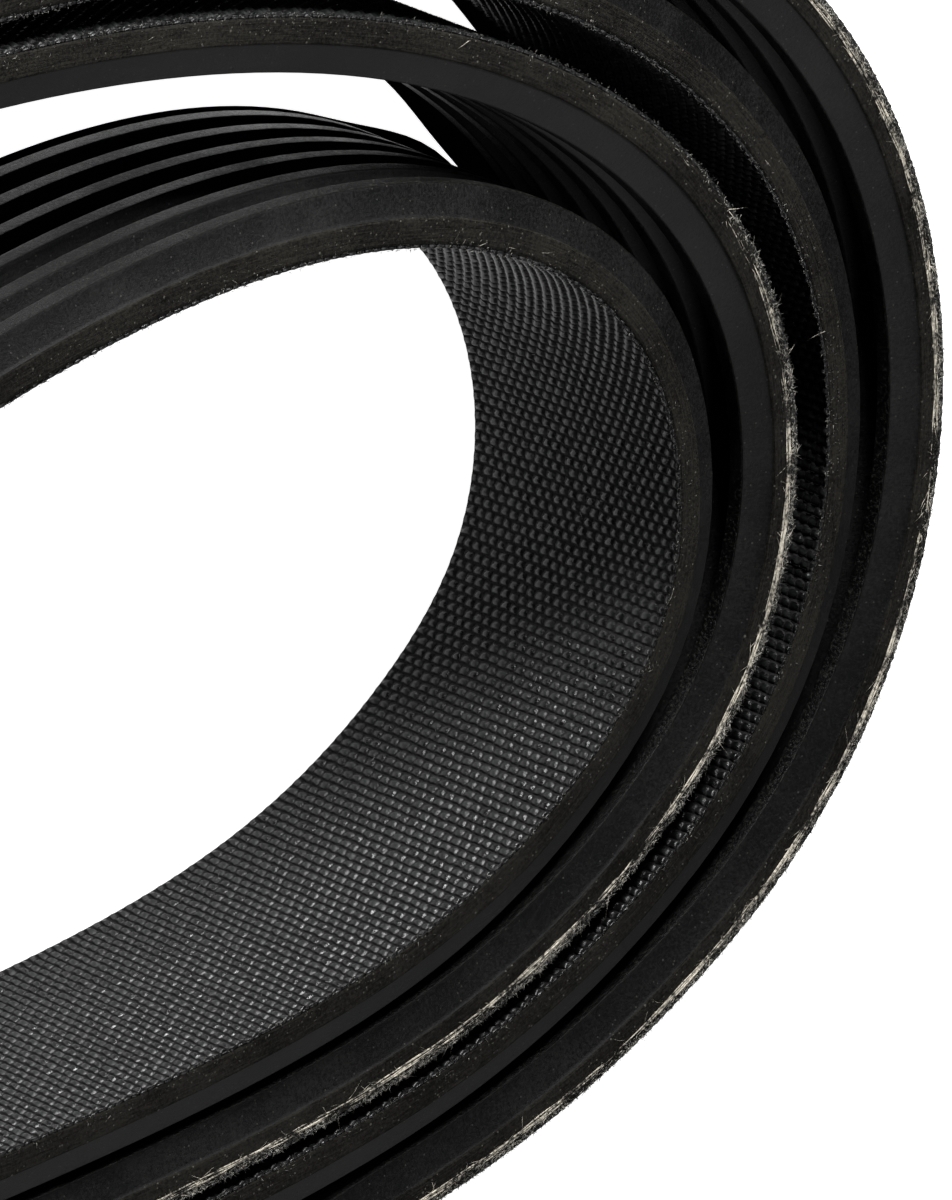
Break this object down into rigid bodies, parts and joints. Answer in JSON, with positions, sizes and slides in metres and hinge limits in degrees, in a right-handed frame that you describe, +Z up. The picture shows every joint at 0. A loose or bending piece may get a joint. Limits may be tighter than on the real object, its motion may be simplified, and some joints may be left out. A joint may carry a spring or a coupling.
{
  "type": "serpentine belt",
  "caption": "Closed ribbed drive belt, flattened to a double strand, rolled up as a flat coil and lying on its cut edge.",
  "frame": {"origin": "under the middle of the coil, on the surface that the belt's cut edge lies on", "axes": "+Z up, across the belt's width; +X along the coil, from its tight bend towards its wide end; +Y across the coil, towards the side with the outer bulb"},
  "size_m": [0.2082, 0.1454, 0.0214],
  "materials": {
    "belt_rubber": "matt black rubber with ground ribs, brownish cut edges, pale cord ends and a fine woven fabric back"
  },
  "bodies": {
    "root": {"belt": "belt_rubber"}
  },
  "joints": []
}
